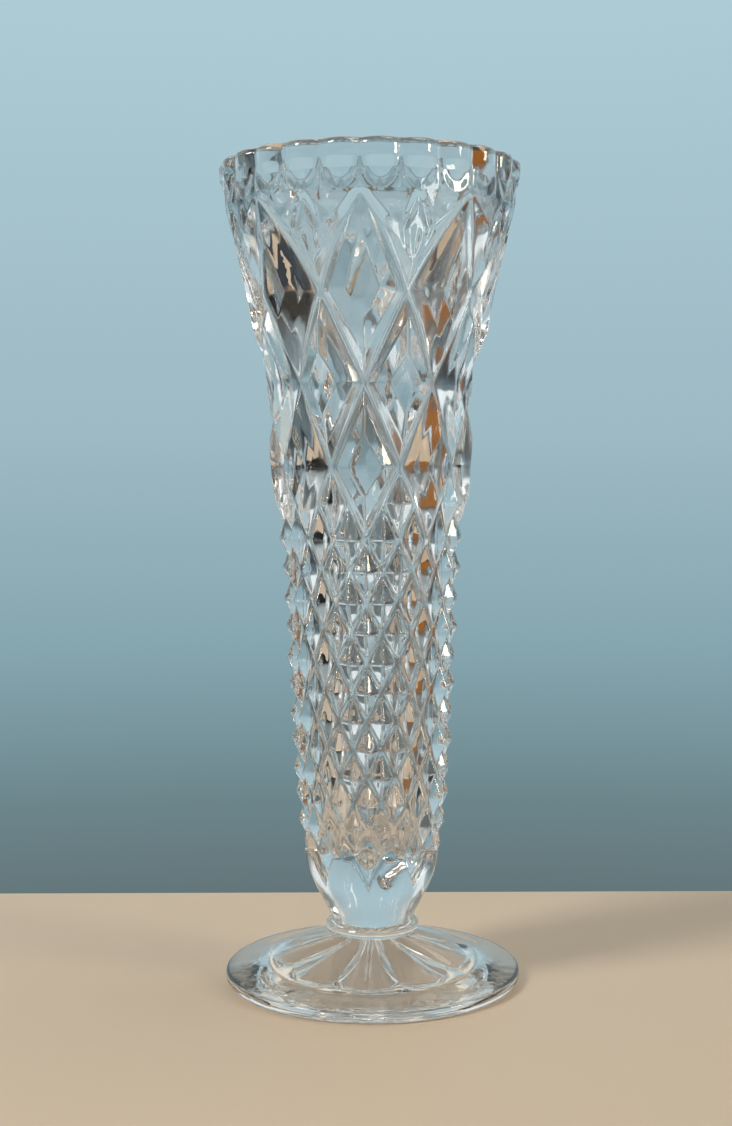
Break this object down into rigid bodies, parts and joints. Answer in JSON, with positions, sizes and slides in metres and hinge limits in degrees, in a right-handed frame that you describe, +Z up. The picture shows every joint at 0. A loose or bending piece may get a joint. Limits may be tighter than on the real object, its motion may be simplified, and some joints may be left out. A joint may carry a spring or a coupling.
{
  "type": "footed vase",
  "caption": "Tall tapering clear glass vase cut with large and small diamonds, on a round foot with a star pressed under it.",
  "frame": {"origin": "centre of the underside of the foot, where the vase rests", "axes": "+Z up along the axis of the vase, -Y towards the front of the vase"},
  "size_m": [0.0842, 0.0842, 0.23],
  "materials": {
    "bowl_glass": "clear polished cut glass",
    "collar_glass": "clear fire-polished glass",
    "foot_glass": "clear polished pressed glass"
  },
  "bodies": {
    "root": {"bowl": "bowl_glass", "collar": "collar_glass", "foot": "foot_glass"}
  },
  "joints": []
}
